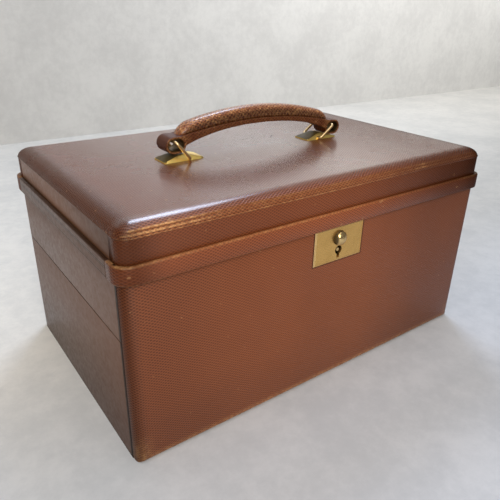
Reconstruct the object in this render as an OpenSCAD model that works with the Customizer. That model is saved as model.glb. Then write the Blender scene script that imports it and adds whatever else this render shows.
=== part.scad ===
// Leather jewellery case: a drop-down front, a hinged tray section and a padded lid with a carrying handle.
// Millimetres. X runs along the length, Y from front (-) to back (+), Z up. The case stands on z = 0.

/* [Case] */
// Length over the leather of the two ends
case_l = 320; // [260:1:400]
// Depth over the front and back leather
case_w = 200; // [160:1:260]
// Height of the joint between the lower section and the tray section
seam_z = 89; // [70:1:110]
// Height of the joint under the lid
rim_z = 129; // [120:1:150]
// Radius of the upright corners
corner_r = 8; // [7.5:0.1:8.2]
// Visible gap between the sections
gap = 0.5; // [0.4:0.05:0.8]
// Thickness of the wooden walls
board_t = 7; // [7:0.5:9]
// Thickness of the base board
base_t = 8; // [7:0.5:10]
// Thickness of the leather on the walls
skin_t = 1.2; // [1:0.05:1.4]
// Thickness of the suede lining on its card
lining_t = 1.5; // [1:0.1:2.5]

/* [Drop front] */
// Thickness of the drop-down front over its leather and lining
flap_t = 8.4; // [8.2:0.1:8.8]
// Distance of each of its hinges from the middle
flap_hinge_x = 105; // [70:1:115]

/* [Lid] */
// Height of the lid's walls above the joint, up to the padded top
lid_wall_h = 25.7; // [22:0.1:34]
// Height of the padded top above the lid's walls
pad_h = 7.6; // [7:0.1:10]
// Height of the raised band round the lid's lower edge
band_h = 11.7; // [8:0.1:16]
// How far the band stands proud of the leather
band_t = 3.1; // [3.1:0.1:4]
// How far the front leather and band wrap round the end, from the front
wrap = 13.5; // [12:0.5:24]

/* [Tray] */
// Depth from the front wall to the long divider
tray_front_w = 72; // [70:1:90]
// Diameter of each ring roll
ring_roll_d = 13; // [10:0.5:13.5]
// Number of ring rolls
ring_rolls_n = 5; // [3:1:5]

/* [Lock] */
// Width of the lock plate
plate_w = 45; // [43:1:60]
// Height of the lock plate
plate_h = 25.7; // [25.5:0.1:25.9]
// Diameter of the push button
button_d = 10.4; // [8:0.1:10.8]
// Travel of the push button
button_travel = 1.3; // [0.8:0.1:1.3]
// Diameter of the round part of the keyhole
keyhole_d = 6.4; // [5.5:0.1:6.6]

/* [Handle] */
// Distance between the two base plates' pivots
pivot_pitch = 125.4; // [124:0.2:128]
// How far the handle sits to the left of the middle
handle_shift = 2.9; // [0:0.1:5]
// Length of each bail from its pivot to its bar
bail_r = 17.3; // [17:0.1:18]
// Lean of the left bail away from upright, in degrees
lean_left = 41.1; // [39:0.1:43]
// Lean of the right bail away from upright, in degrees
lean_right = 54.5; // [53:0.1:55]
// Thickness of the bails' wire
wire_d = 2.2; // [1.8:0.1:2.2]
// Greatest width of the strap
strap_w = 18; // [16:0.5:20]
// Height of the padded roll on the strap, at the middle
roll_h = 9.1; // [8:0.1:10]

/* [Hidden] */
$fn = 48;

leather = [0.45, 0.26, 0.19];
smooth_leather = [0.40, 0.33, 0.30];
wood = [0.72, 0.58, 0.42];
suede = [0.62, 0.47, 0.35];
brass = [0.74, 0.60, 0.33];
steel = [0.70, 0.70, 0.70];

ex = case_l / 2;                       // outer face of each end
ey = case_w / 2;                       // outer face of the front and back
front_y = -ey + flap_t + gap;          // front face of the lower section and the tray
inner_x = ex - skin_t - board_t;       // inner face of each end wall
inner_y = ey - skin_t - board_t;       // inner face of the back wall
sole_t = 0.8;                          // leathercloth under the base
floor_z = sole_t + base_t;             // top of the base board
low_top = seam_z - gap / 2;            // top of the lower section
tray_z = seam_z + gap / 2;             // underside of the tray section
tray_top = rim_z - gap / 2 + 0.05;     // top of the tray section and of the drop front
lid_z = rim_z + gap / 2 + 0.05;        // underside of the lid
lid_wall_top = lid_z + lid_wall_h;     // top of the lid's walls
pad_top = lid_wall_top + pad_h;        // top of the padded lid
back_seam_x = ex - 14;                 // where the end and back leather meet, on the back
tray_floor_t = 3;
rail_t = 5;                            // thickness of the tray's front wall

// Back hinges: two pairs of butt hinges, one at each joint
hinge_y = ey + 1.2;
hinge_x = 95;
hinge_l = 50;
knuckle_r = 1.9;
pin_r = 0.9;
leaf_t = 1.2;
leaf_h = 16;
low_hinge_z = seam_z;
lid_hinge_z = rim_z + 0.05;
screw_rise = 9.5;                      // height of the screws above or below the pin

// Drop front: the pin line is the centre of its half-round lower edge
flap_r = flap_t / 2;
flap_pin_y = -ey + flap_r;
flap_pin_z = flap_r + 0.5;
flap_hinge_l = 40;
flap_knuckle_r = 2.4;
flap_pin_r = 1;
flap_in_y = -ey + flap_t;              // inner face of the drop front
flap_lining_t = 1;
flap_leaf_t = 1.2;
flap_leaf_h = 22;                      // reach of each leaf from the pin line

// Lock: depths are measured from the front
plate_top = rim_z - 0.5;
plate_z = plate_top - plate_h;
plate_front = -ey - 0.4;
plate_back = -ey + skin_t;
button_z = rim_z - 9.3;
key_z = rim_z - 18.5;
case_back = flap_in_y - 0.3;
case_in = case_back - 0.7;             // inner face of the lock case's back
button_tip = -ey - 5;
tongue_y = [-ey + 3.4, -ey + 4.6];
tongue_w = 7;
tongue_low = key_z + 4.9;
leaf_y = [-ey + 5.3, -ey + 5.8];
cam_y = [-ey + 6.1, -ey + 7.1];

// Handle, in the X-Z plane
pivot_z = pad_top + 1.6;
wire_r = wire_d / 2;
bail_y = 11;                           // distance of the bails' legs from the middle
left_pivot = [-handle_shift - pivot_pitch / 2, pivot_z];
right_pivot = [-handle_shift + pivot_pitch / 2, pivot_z];
left_bar = left_pivot + bail_r * [-sin(lean_left), cos(lean_left)];
right_bar = right_pivot + bail_r * [sin(lean_right), cos(lean_right)];
bar_mid = (left_bar + right_bar) / 2;
bar_half = norm(right_bar - left_bar) / 2;
grip_tilt = atan2(left_bar[1] - right_bar[1], right_bar[0] - left_bar[0]);
bar_slack = 2;                         // how far the handle sits to the right on its two bars
liner_in_r = 4;                        // hole in each loop's brass lining
loop_in_r = 4.5;
loop_out_r = 6;
loop_half = 8;                         // half-width of each loop
loop_x = bar_half + 2.3;               // outer centre of each end loop
loop_z = -2.75;
loop_len = 4;                          // length of the straight part of each end loop
strap_end = loop_x - loop_len;         // where the strap runs into its loops
roll_end = strap_end - 2.2;
roll_steps = 28;
plate_rise = 4.6;                       // height of the base plates
plate_half_l = 16;
plate_half_w = 9.2;
plate_out = 3.9;                       // how far each base plate's middle is outside its pivot
left_plate_x = left_pivot[0] - plate_out;
right_plate_x = right_pivot[0] + plate_out;
rivet_x = 9;                           // distance of each rivet from its base plate's middle

// ---- shared shapes ----

// Outline with rounded back corners and a square front
module plan_back(inset, y_front) {
    r = corner_r - inset;
    x = ex - inset;
    y = ey - inset;
    translate([-x, y_front]) square([2 * x, y - r - y_front]);
    translate([-(x - r), y_front]) square([2 * (x - r), y - y_front]);
    for (s = [-1, 1]) translate([s * (x - r), y - r]) circle(r);
}

// Outline with four rounded corners
module plan_round(inset) {
    r = corner_r - inset;
    x = ex - inset;
    y = ey - inset;
    translate([-x, -(y - r)]) square([2 * x, 2 * (y - r)]);
    translate([-(x - r), -y]) square([2 * (x - r), 2 * y]);
    for (s = [-1, 1], t = [-1, 1]) translate([s * (x - r), t * (y - r)]) circle(r);
}

// Box between two corners
module box(low, high) {
    translate(low) cube(high - low);
}

// Turns a shape drawn in the plane into one that is drawn in Y-Z and runs along X
module along_x(length) {
    translate([-length / 2, 0, 0]) rotate([90, 0, 90]) linear_extrude(length) children();
}

// Turns a shape drawn in the plane into one that is drawn in X-Z and runs along Y
module along_y(length) {
    translate([0, length / 2, 0]) rotate([90, 0, 0]) linear_extrude(length) children();
}

// Rod along Y
module rod_y(r, y0, y1) {
    translate([0, y0, 0]) rotate([-90, 0, 0]) cylinder(r = r, h = y1 - y0);
}

// Leather round the outside of a section and over the front edges of its ends
module wall_leather(z0, z1) {
    translate([0, 0, z0]) linear_extrude(z1 - z0) difference() {
        plan_back(0, front_y);
        plan_back(skin_t, front_y + skin_t);
        translate([-inner_x, front_y - 1]) square([2 * inner_x, skin_t + 1.5]);
    }
}

// The part of a wall_leather that covers the ends
module end_parts(z0, z1) {
    intersection() {
        wall_leather(z0, z1);
        for (s = [-1, 1]) translate([s * (back_seam_x + 20) - 20, -2 * ey, 0]) cube([40, 4 * ey, 300]);
    }
}

// The part of a wall_leather that covers the back
module back_part(z0, z1) {
    intersection() {
        wall_leather(z0, z1);
        box([-back_seam_x, 0, 0], [back_seam_x, 2 * ey, 300]);
    }
}

// Room for the back hinges' knuckles in the leather
module knuckle_room(z) {
    for (s = [-1, 1])
        box([s * hinge_x - hinge_l / 2 - 0.5, ey - skin_t - 0.1, z - knuckle_r - 0.4],
            [s * hinge_x + hinge_l / 2 + 0.5, ey + 1, z + knuckle_r + 0.4]);
}

// Half of a butt hinge with its pin line on the X axis and its leaf pointing up.
// first is 0 for the half with the end knuckles, 1 for the other; y0 and y1 are the leaf's faces.
module hinge_half(length, r, pin, first, y0, y1, z0, z1) {
    step = length / 5;
    difference() {
        union() {
            for (i = [first:2:4]) translate([i * step - length / 2 + 0.15, 0, 0]) {
                rotate([0, 90, 0]) cylinder(r = r, h = step - 0.3);
                translate([0, y0, 0]) cube([step - 0.3, y1 - y0, z0 + 0.01]);
            }
            translate([-length / 2, y0, z0]) cube([length, y1 - y0, z1 - z0]);
        }
        rotate([0, 90, 0]) cylinder(r = pin + 0.05, h = length + 2, center = true);
    }
}

// Both back hinges' halves at one joint; up is 1 for the leaf above the pin and -1 for the one below
module back_hinges(z, up, first) {
    for (s = [-1, 1]) translate([s * hinge_x, hinge_y, z])
        mirror([0, 0, up > 0 ? 0 : 1]) difference() {
            hinge_half(hinge_l, knuckle_r, pin_r, first, -leaf_t, 0, knuckle_r + 0.3, leaf_h);
            for (k = [-1:1]) translate([k * 18, 0, screw_rise]) rod_y(1.1, -leaf_t - 1, 1);
        }
}

module back_pins(z) {
    for (s = [-1, 1]) translate([s * hinge_x - hinge_l / 2, hinge_y, z])
        rotate([0, 90, 0]) cylinder(r = pin_r, h = hinge_l);
}

// Countersunk screws through the leaves at one joint
module back_screws(z, up) {
    for (s = [-1, 1], k = [-1:1])
        translate([s * hinge_x + k * 18, hinge_y, z + up * screw_rise]) {
            rod_y(1.1, -7.5, 0);
            rod_y(1.8, 0, 0.35);
        }
}

// ---- lower section ----

// Slots in the base board's front edge for the drop front's hinges
module rear_leaf_slots() {
    for (s = [-1, 1]) translate([s * flap_hinge_x, flap_pin_y, flap_pin_z])
        box([-flap_hinge_l / 2, 0, -flap_leaf_t / 2], [flap_hinge_l / 2, flap_leaf_h, flap_leaf_t / 2]);
}

module base_cover() {
    color(smooth_leather) {
        linear_extrude(sole_t) plan_back(0, front_y);
        difference() {
            box([-inner_x, front_y, sole_t], [inner_x, front_y + skin_t, floor_z]);
            rear_leaf_slots();
        }
    }
}

module base_board() {
    color(wood) difference() {
        translate([0, 0, sole_t]) linear_extrude(base_t) plan_back(skin_t, front_y + skin_t);
        rear_leaf_slots();
    }
}

module end_boards() {
    color(wood) intersection() {
        translate([0, 0, floor_z]) linear_extrude(low_top - floor_z) plan_back(skin_t, front_y + skin_t);
        for (s = [-1, 1]) translate([s * (inner_x + 10) - 10, -2 * ey, 0]) cube([20, 4 * ey, 300]);
    }
}

module back_board() {
    color(wood) box([-inner_x, inner_y, floor_z], [inner_x, ey - skin_t, low_top]);
}

module end_leather() {
    color(smooth_leather) end_parts(sole_t, low_top);
}

module back_leather() {
    color(smooth_leather) difference() {
        back_part(sole_t, low_top);
        knuckle_room(low_hinge_z);
    }
}

// Suede-covered card on the floor, back and ends; the front is open
module well_lining() {
    color(suede) difference() {
        box([-inner_x, front_y + skin_t, floor_z], [inner_x, inner_y, low_top - 0.5]);
        box([-inner_x + lining_t, front_y, floor_z + lining_t],
            [inner_x - lining_t, inner_y - lining_t, low_top]);
    }
}

module tray_hinge_lower() {
    color(brass) back_hinges(low_hinge_z, -1, 0);
}

module tray_hinge_pins() {
    color(steel) back_pins(low_hinge_z);
}

module carcase_screws() {
    color(brass) back_screws(low_hinge_z, -1);
}

// Leaves let into the front edge of the base board
module flap_hinge_rear() {
    color(brass) for (s = [-1, 1]) translate([s * flap_hinge_x, flap_pin_y, flap_pin_z])
        rotate([-90, 0, 0]) hinge_half(flap_hinge_l, flap_knuckle_r, flap_pin_r, 0,
            -flap_leaf_t / 2, flap_leaf_t / 2, flap_knuckle_r + 0.5, flap_leaf_h);
}

module flap_hinge_pins() {
    color(steel) for (s = [-1, 1]) translate([s * flap_hinge_x - flap_hinge_l / 2, flap_pin_y, flap_pin_z])
        rotate([0, 90, 0]) cylinder(r = flap_pin_r, h = flap_hinge_l);
}

// ---- drop front ----

// Outline from above, with rounded front corners
module flap_plan(inset) {
    r = corner_r - inset;
    x = ex - inset;
    y = -ey + inset;
    translate([-x, y + r]) square([2 * x, flap_in_y + 1 - y - r]);
    translate([-(x - r), y]) square([2 * (x - r), r + 0.2]);
    for (s = [-1, 1]) translate([s * (x - r), y + r]) circle(r);
}

// Slab with a half-round lower edge on the pin line; it ends at inner_y_face inside and top above
module flap_slab(inset, inner_y_face, top) {
    r = flap_r - inset;
    intersection() {
        translate([0, flap_pin_y, flap_pin_z]) along_x(2 * ex + 10) {
            circle(r);
            translate([-r, 0]) square([inner_y_face - flap_pin_y + r, top - flap_pin_z]);
        }
        linear_extrude(300) flap_plan(inset);
    }
}

// Clearance round the hinges, which swing within the lower edge
module flap_hinge_room() {
    length = flap_hinge_l + 1.2;
    for (s = [-1, 1]) translate([s * flap_hinge_x, flap_pin_y, flap_pin_z]) {
        rotate([0, 90, 0]) cylinder(r = flap_knuckle_r + 0.6, h = length, center = true);
        box([-length / 2, -1, -6], [length / 2, 6, 1]);
    }
}

// Slot for the tongue, open above and behind
module tongue_slot() {
    box([-4.4, -ey + 2.6, tongue_low - 0.8], [4.4, flap_in_y + 1, rim_z + 2]);
}

module flap_leather() {
    color(leather) difference() {
        flap_slab(0, flap_in_y, tray_top);
        flap_slab(skin_t, flap_in_y + 1, tray_top - skin_t);
        flap_hinge_room();
        tongue_slot();
        box([-plate_w / 2 - 0.4, -ey - 1, plate_z - 0.4], [plate_w / 2 + 0.4, plate_back, rim_z + 1]);
    }
}

module flap_board() {
    color(wood) difference() {
        flap_slab(skin_t, flap_in_y - flap_lining_t, tray_top - skin_t);
        flap_hinge_room();
        for (s = [-1, 1]) translate([s * flap_hinge_x, flap_pin_y, flap_pin_z])
            box([-flap_hinge_l / 2, -flap_leaf_t / 2, 0], [flap_hinge_l / 2, flap_leaf_t / 2, flap_leaf_h]);
        box([-20.1, -ey, plate_z + 1.1], [20.1, flap_in_y, rim_z]);
    }
}

module flap_lining() {
    color(suede) difference() {
        box([-ex + skin_t, flap_in_y - flap_lining_t, flap_pin_z],
            [ex - skin_t, flap_in_y, tray_top - skin_t]);
        flap_hinge_room();
        box([-20.1, -ey, plate_z + 1.1], [20.1, flap_in_y + 1, rim_z]);
    }
}

// Leaves let into the drop front's lower edge
module flap_hinge_front() {
    color(brass) for (s = [-1, 1]) translate([s * flap_hinge_x, flap_pin_y, flap_pin_z])
        hinge_half(flap_hinge_l, flap_knuckle_r, flap_pin_r, 1,
            -flap_leaf_t / 2, flap_leaf_t / 2, flap_knuckle_r + 0.5, flap_leaf_h);
}

// ---- lock ----

module lock_plate() {
    color(brass) difference() {
        box([-plate_w / 2, plate_front, plate_z], [plate_w / 2, plate_back, plate_top]);
        translate([0, 0, button_z]) rod_y(button_d / 2 + 0.3, -ey - 2, -ey + 3);
        translate([0, 0, key_z]) rod_y(keyhole_d / 2, -ey - 2, -ey + 3);
        box([-1.2, -ey - 2, key_z - 6], [1.2, -ey + 3, key_z]);
    }
}

// Shallow box behind the plate, with a lug for the spring leaf
module lock_case() {
    color(brass) {
        difference() {
            box([-20, plate_back, plate_z + 1.2], [20, case_back, tray_top - skin_t - 0.1]);
            box([-19, plate_back - 1, plate_z + 2.2], [19, case_in, tray_top - skin_t - 0.9]);
            tongue_slot();
        }
        box([12, leaf_y[1], button_z - 3.2], [18, case_in + 0.1, button_z + 3.2]);
    }
}

// Post on which the key turns
module key_post() {
    color(steel) translate([0, 0, key_z]) rod_y(1.3, -ey + 0.3, case_in);
}

// Spring leaf; its nose stands in the tongue's window
module catch_leaf() {
    color(brass) {
        box([-8, leaf_y[0], button_z - 2.9], [17.5, leaf_y[1], button_z + 2.9]);
        box([-1.8, tongue_y[0] + 0.2, button_z - 2.1], [1.8, leaf_y[0] + 0.1, button_z + 0.9]);
    }
}

module leaf_rivets() {
    color(brass) for (z = [-1.6, 1.6]) translate([15, 0, button_z + z]) {
        rod_y(0.7, leaf_y[0] - 0.4, case_in);
        rod_y(1.2, leaf_y[0] - 0.4, leaf_y[0]);
    }
}

// Domed button with a retaining flange and two prongs that press the leaf
module push_button() {
    cap_h = 2.6;
    cap_r = (pow(button_d / 2, 2) + cap_h * cap_h) / (2 * cap_h);
    stem = plate_back + 0.7 - button_tip;
    color(brass) translate([0, 0, button_z]) {
        translate([0, button_tip, 0]) rotate([-90, 0, 0]) rotate_extrude() {
            intersection() {
                translate([0, cap_r]) circle(cap_r, $fn = 96);
                square([button_d / 2, stem]);
            }
            translate([0, stem - 0.6]) square([button_d / 2 + 1.2, 0.6]);
        }
        for (s = [-1, 1]) translate([s * 5.6, 0, 0]) rod_y(1, plate_back + 0.5, leaf_y[0] - 0.2);
    }
}

// Key-turned cam; its finger comes up behind the leaf when it is locked
module lock_cam() {
    color(brass) translate([0, 0, key_z]) difference() {
        union() {
            rod_y(4, cam_y[0], cam_y[1]);
            box([-8.7, cam_y[0], -1.5], [0, cam_y[1], 1.5]);
        }
        rod_y(1.4, cam_y[0] - 1, cam_y[1] + 1);
        box([-1.2, cam_y[0] - 1, -5], [1.2, cam_y[1] + 1, -2]);
    }
}

// ---- tray section ----

module tray_floor() {
    color(wood) translate([0, 0, tray_z]) linear_extrude(tray_floor_t)
        plan_back(skin_t, front_y + skin_t);
}

module tray_frame() {
    color(wood) translate([0, 0, tray_z + tray_floor_t])
        linear_extrude(tray_top - tray_z - tray_floor_t) difference() {
            plan_back(skin_t, front_y + skin_t);
            translate([-inner_x, front_y + skin_t + rail_t])
                square([2 * inner_x, inner_y - front_y - skin_t - rail_t]);
        }
}

module tray_end_leather() {
    color(smooth_leather) end_parts(tray_z, tray_top);
}

module tray_back_leather() {
    color(smooth_leather) difference() {
        back_part(tray_z, tray_top);
        knuckle_room(low_hinge_z);
        knuckle_room(lid_hinge_z);
    }
}

module tray_front_skin() {
    color(suede) box([-inner_x, front_y, tray_z], [inner_x, front_y + skin_t, tray_top]);
}

module tray_lining() {
    y0 = front_y + skin_t + rail_t;
    z0 = tray_z + tray_floor_t;
    color(suede) difference() {
        box([-inner_x, y0, z0], [inner_x, inner_y, tray_top - 1]);
        box([-inner_x + lining_t, y0 + lining_t, z0 + lining_t],
            [inner_x - lining_t, inner_y - lining_t, tray_top + 1]);
    }
}

tray_in_z = tray_z + tray_floor_t + lining_t;
tray_in_y = front_y + skin_t + rail_t + lining_t;
tray_split_y = tray_in_y + tray_front_w;
divider_t = 3;
divider_top = tray_in_z + 27;

// Parts the ring rolls in front from the three compartments behind
module tray_long_divider() {
    color(suede) box([-inner_x + lining_t, tray_split_y, tray_in_z],
                     [inner_x - lining_t, tray_split_y + divider_t, divider_top]);
}

module tray_cross_dividers() {
    color(suede) {
        for (s = [-1, 1])
            box([s * 50 - divider_t / 2, tray_split_y + divider_t, tray_in_z],
                [s * 50 + divider_t / 2, inner_y - lining_t, divider_top]);
        box([60, tray_in_y, tray_in_z], [60 + divider_t, tray_split_y, divider_top]);
    }
}

// Soft rolls that grip rings between them
module ring_rolls() {
    pitch = (tray_front_w - ring_roll_d - 0.6) / (ring_rolls_n - 1);
    color(suede) for (i = [0:ring_rolls_n - 1])
        translate([-inner_x + lining_t + 0.5, tray_in_y + ring_roll_d / 2 + 0.3 + i * pitch,
                   tray_in_z + ring_roll_d / 2])
            rotate([0, 90, 0]) cylinder(d = ring_roll_d, h = 60 + inner_x - lining_t - 1);
}

module tray_hinge_upper() {
    color(brass) back_hinges(low_hinge_z, 1, 1);
}

module lid_hinge_lower() {
    color(brass) back_hinges(lid_hinge_z, -1, 0);
}

module lid_hinge_pins() {
    color(steel) back_pins(lid_hinge_z);
}

module tray_screws() {
    color(brass) {
        back_screws(low_hinge_z, 1);
        back_screws(lid_hinge_z, -1);
    }
}

// ---- lid ----

// Recess for the tongue's foot in the front wall's lower edge
foot = [[-10, -ey + 1.8, lid_z], [10, -ey + 7, lid_z + 1.2]];

module lid_frame() {
    color(wood) difference() {
        translate([0, 0, lid_z]) linear_extrude(lid_wall_h) difference() {
            plan_round(skin_t);
            square([2 * inner_x, 2 * inner_y], center = true);
        }
        box(foot[0] - [0, 0, 1], foot[1]);
    }
}

module lid_top_board() {
    color(wood) box([-inner_x, -inner_y, lid_wall_top - 4], [inner_x, inner_y, lid_wall_top]);
}

// Padded top with a rounded edge
module lid_pad() {
    r = pad_h - 0.4;
    color(leather) intersection() {
        translate([0, 0, lid_wall_top]) along_y(3 * ey) {
            translate([-ex, 0]) square([2 * ex, pad_h - r]);
            translate([-(ex - r), 0]) square([2 * (ex - r), pad_h]);
            for (s = [-1, 1]) translate([s * (ex - r), pad_h - r]) circle(r);
        }
        translate([0, 0, lid_wall_top]) along_x(3 * ex) {
            translate([-ey, 0]) square([2 * ey, pad_h - r]);
            translate([-(ey - r), 0]) square([2 * (ey - r), pad_h]);
            for (s = [-1, 1]) translate([s * (ey - r), pad_h - r]) circle(r);
        }
        translate([0, 0, lid_wall_top]) linear_extrude(pad_h) plan_round(0);
    }
}

// Ring of leather on the lid's walls, or of the band outside it
module lid_ring(outer, inner, height) {
    translate([0, 0, lid_z]) linear_extrude(height) difference() {
        plan_round(-outer);
        plan_round(inner);
    }
}

// Slices of a ring: the front with its wrapped corners, the straight ends, and the back
module front_slice(play) {
    intersection() {
        children();
        box([-2 * ex, -2 * ey, 0], [2 * ex, -ey + wrap - play, 300]);
    }
}

module end_slices(play) {
    intersection() {
        children();
        for (s = [-1, 1])
            translate([s * ex - 20, -ey + wrap + play, 0]) cube([40, 2 * ey - 2 * wrap - 2 * play, 300]);
    }
}

module back_slice(play) {
    intersection() {
        children();
        box([-2 * ex, ey - wrap + play, 0], [2 * ex, 2 * ey, 300]);
    }
}

module lid_front_leather() {
    color(leather) front_slice(0) lid_ring(0, skin_t, lid_wall_h);
}

module lid_end_panels() {
    color(smooth_leather) end_slices(0) lid_ring(0, skin_t, lid_wall_h);
}

module lid_back_leather() {
    color(leather) difference() {
        back_slice(0) lid_ring(0, skin_t, lid_wall_h);
        knuckle_room(lid_hinge_z);
    }
}

module band_front() {
    color(leather) front_slice(0.1) lid_ring(band_t, 0, band_h);
}

module band_ends() {
    color(leather) end_slices(0.1) lid_ring(band_t, 0, band_h);
}

// Left out behind the hinges
module band_back() {
    color(leather) difference() {
        back_slice(0.1) lid_ring(band_t, 0, band_h);
        for (s = [-1, 1])
            box([s * hinge_x - hinge_l / 2 - 1.5, ey - 1, 0], [s * hinge_x + hinge_l / 2 + 1.5, 2 * ey, 300]);
    }
}

module lid_lining() {
    top = lid_wall_top - 4;
    color(suede) difference() {
        box([-inner_x, -inner_y, lid_z + 1], [inner_x, inner_y, top]);
        box([-inner_x + lining_t, -inner_y + lining_t, lid_z],
            [inner_x - lining_t, inner_y - lining_t, top - lining_t]);
    }
}

// Plate on the lid's lower edge with a windowed tongue that drops into the lock
module tongue() {
    color(brass) difference() {
        union() {
            box(foot[0], foot[1]);
            box([-tongue_w / 2, tongue_y[0], tongue_low], [tongue_w / 2, tongue_y[1], lid_z + 0.5]);
        }
        box([-2.3, -ey, button_z - 2.6], [2.3, -ey + 8, button_z + 1.5]);
    }
}

module tongue_screws() {
    color(steel) for (s = [-1, 1]) translate([s * 7, -ey + 4.4, lid_z]) cylinder(r = 1, h = 8);
}

module lid_hinge_upper() {
    color(brass) back_hinges(lid_hinge_z, 1, 1);
}

module lid_screws() {
    color(brass) back_screws(lid_hinge_z, 1);
}

// ---- handle ----

// Hipped base plates; each is bored from both sides for its bail
module handle_plates() {
    l = plate_half_l;
    w = plate_half_w;
    r = 1.6;
    color(brass) for (p = [[left_plate_x, left_pivot[0]], [right_plate_x, right_pivot[0]]])
        translate([p[0], 0, pad_top]) difference() {
            intersection() {
                along_y(30) polygon([[-l, 0], [l, 0], [l, 1], [2.5, plate_rise], [-2.5, plate_rise],
                                     [-l, 1]]);
                along_x(50) polygon([[-w, 0], [w, 0], [w - 3.7, plate_rise], [3.7 - w, plate_rise]]);
                linear_extrude(plate_rise + 1) {
                    translate([-l, -w + r]) square([2 * l, 2 * (w - r)]);
                    translate([-l + r, -w]) square([2 * (l - r), 2 * w]);
                    for (s = [-1, 1], t = [-1, 1]) translate([s * (l - r), t * (w - r)]) circle(r);
                }
            }
            for (s = [-1, 1]) translate([p[1] - p[0], s * 9.3, pivot_z - pad_top])
                rod_y(wire_r + 0.08, -4, 4);
        }
}

// Rivets from the base plates through the padding and the top board
module plate_rivets() {
    color(steel) for (x = [left_plate_x, right_plate_x], s = [-1, 1])
        translate([x + s * rivet_x, 0, lid_wall_top - 4]) {
            cylinder(r = 1, h = pad_h + 5.5);
            cylinder(r = 2.2, h = 0.8);
        }
}

// Wire bail, upright, with its pivots on the origin
module bail() {
    for (s = [-1, 1]) {
        translate([0, s * bail_y, 0]) {
            cylinder(r = wire_r, h = bail_r);
            sphere(wire_r);
        }
        translate([0, s * bail_y, bail_r]) sphere(wire_r);
        rod_y(wire_r, min(s * bail_y, s * 5.5), max(s * bail_y, s * 5.5));
    }
    translate([0, 0, bail_r]) rod_y(wire_r, -bail_y, bail_y);
}

module left_bail() {
    color(brass) translate([left_pivot[0], 0, pivot_z]) rotate([0, -lean_left, 0]) bail();
}

module right_bail() {
    color(brass) translate([right_pivot[0], 0, pivot_z]) rotate([0, lean_right, 0]) bail();
}

// Puts a shape drawn round the handle's middle in place, with the handle's slight tilt
module on_bars() {
    translate([bar_mid[0] + bar_slack, 0, bar_mid[1]]) rotate([0, grip_tilt, 0]) children();
}

// Heights of the strap's underside and top along the handle, from the line through the bars
function strap_low(x) = 7.7 - 9.2 * pow(x / strap_end, 2) - 4.8 * pow(x / strap_end, 4);
function strap_high(x) = 11.1 - 8.2 * pow(x / strap_end, 2);
// Half-width of the strap: full in the middle, narrowing to the loops
function strap_half(x) = let (t = (strap_end - 5 - abs(x)) / 21)
    loop_half + (strap_w / 2 - loop_half) * max(0, min(1, t));
roll_xs = [for (i = [0:roll_steps]) -roll_end + 2 * roll_end * i / roll_steps];

module end_loop(r) {
    for (x = [loop_x - loop_len, loop_x]) translate([x, loop_z]) circle(r);
    translate([loop_x - loop_len, loop_z - r]) square([loop_len, 2 * r]);
}

// Flat strap with a sewn loop at each end
module grip_strap() {
    xs = concat([-strap_end], roll_xs, [strap_end]);
    last = len(xs) - 1;
    side = [-bar_half - 20, -strap_end + 5, -strap_end + 26, strap_end - 26, strap_end - 5, bar_half + 20];
    color(leather) on_bars() intersection() {
        along_y(40) difference() {
            union() {
                polygon(concat([for (x = xs) [x, strap_low(x)]],
                               [for (i = [last:-1:0]) [xs[i], strap_high(xs[i])]]));
                for (m = [0, 1]) mirror([m, 0]) end_loop(loop_out_r);
            }
            for (m = [0, 1]) mirror([m, 0]) end_loop(loop_in_r);
        }
        translate([0, 0, -50]) linear_extrude(100) polygon(concat(
            [for (x = side) [x, -strap_half(x)]], [for (i = [5:-1:0]) [side[i], strap_half(side[i])]]));
    }
}

// Brass linings that keep the two loops open
module loop_linings() {
    color(brass) on_bars() for (m = [0, 1]) mirror([m, 0, 0]) along_y(2 * loop_half - 1) difference() {
        end_loop(loop_in_r);
        end_loop(liner_in_r);
    }
}

// Padded roll on the strap: half-oval sections that thin out towards the ends
module grip_roll() {
    n = 14;
    function near_end(x) = abs(x) / roll_end;
    function nose(x) = pow(max(0, 1 - pow(max(0, abs(x) - roll_end + 11) / 11, 2)), 0.7);
    function thick(x) = 0.5 + ((roll_h - 0.5) - 2.9 * pow(near_end(x), 2)) * nose(x);
    function half(x) = (strap_half(x) - 0.8) * (1 - 0.25 * pow(near_end(x), 6));
    rings = [for (x = roll_xs) [for (k = [0:n])
        [x, -half(x) * cos(180 * k / n), strap_high(x) + thick(x) * sin(180 * k / n)]]];
    m = n + 1;
    color(leather) on_bars() polyhedron(
        points = [for (ring = rings) for (p = ring) p],
        faces = concat(
            [[for (k = [n:-1:0]) k]],
            [[for (k = [0:n]) roll_steps * m + k]],
            [for (i = [0:roll_steps - 1]) for (k = [0:n])
                each let (a = i * m + k, b = i * m + (k + 1) % m) [[a, b + m, a + m], [a, b, b + m]]]
        )
    );
}

base_cover();
base_board();
end_boards();
back_board();
end_leather();
back_leather();
well_lining();
tray_hinge_lower();
tray_hinge_pins();
carcase_screws();
flap_hinge_rear();
flap_hinge_pins();
flap_board();
flap_leather();
flap_lining();
flap_hinge_front();
lock_plate();
lock_case();
key_post();
catch_leaf();
leaf_rivets();
push_button();
lock_cam();
tray_floor();
tray_frame();
tray_end_leather();
tray_back_leather();
tray_front_skin();
tray_lining();
tray_long_divider();
tray_cross_dividers();
ring_rolls();
tray_hinge_upper();
lid_hinge_lower();
lid_hinge_pins();
tray_screws();
lid_frame();
lid_top_board();
lid_pad();
lid_front_leather();
lid_end_panels();
lid_back_leather();
band_front();
band_ends();
band_back();
lid_lining();
tongue();
tongue_screws();
lid_hinge_upper();
lid_screws();
handle_plates();
plate_rivets();
left_bail();
right_bail();
grip_strap();
loop_linings();
grip_roll();
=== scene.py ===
"""Leather jewellery case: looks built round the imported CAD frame. +Z is up and the front faces -Y.

Meshes are written in millimetres and stored in metres by make_mesh. Materials read metres."""
import math
import random

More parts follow.
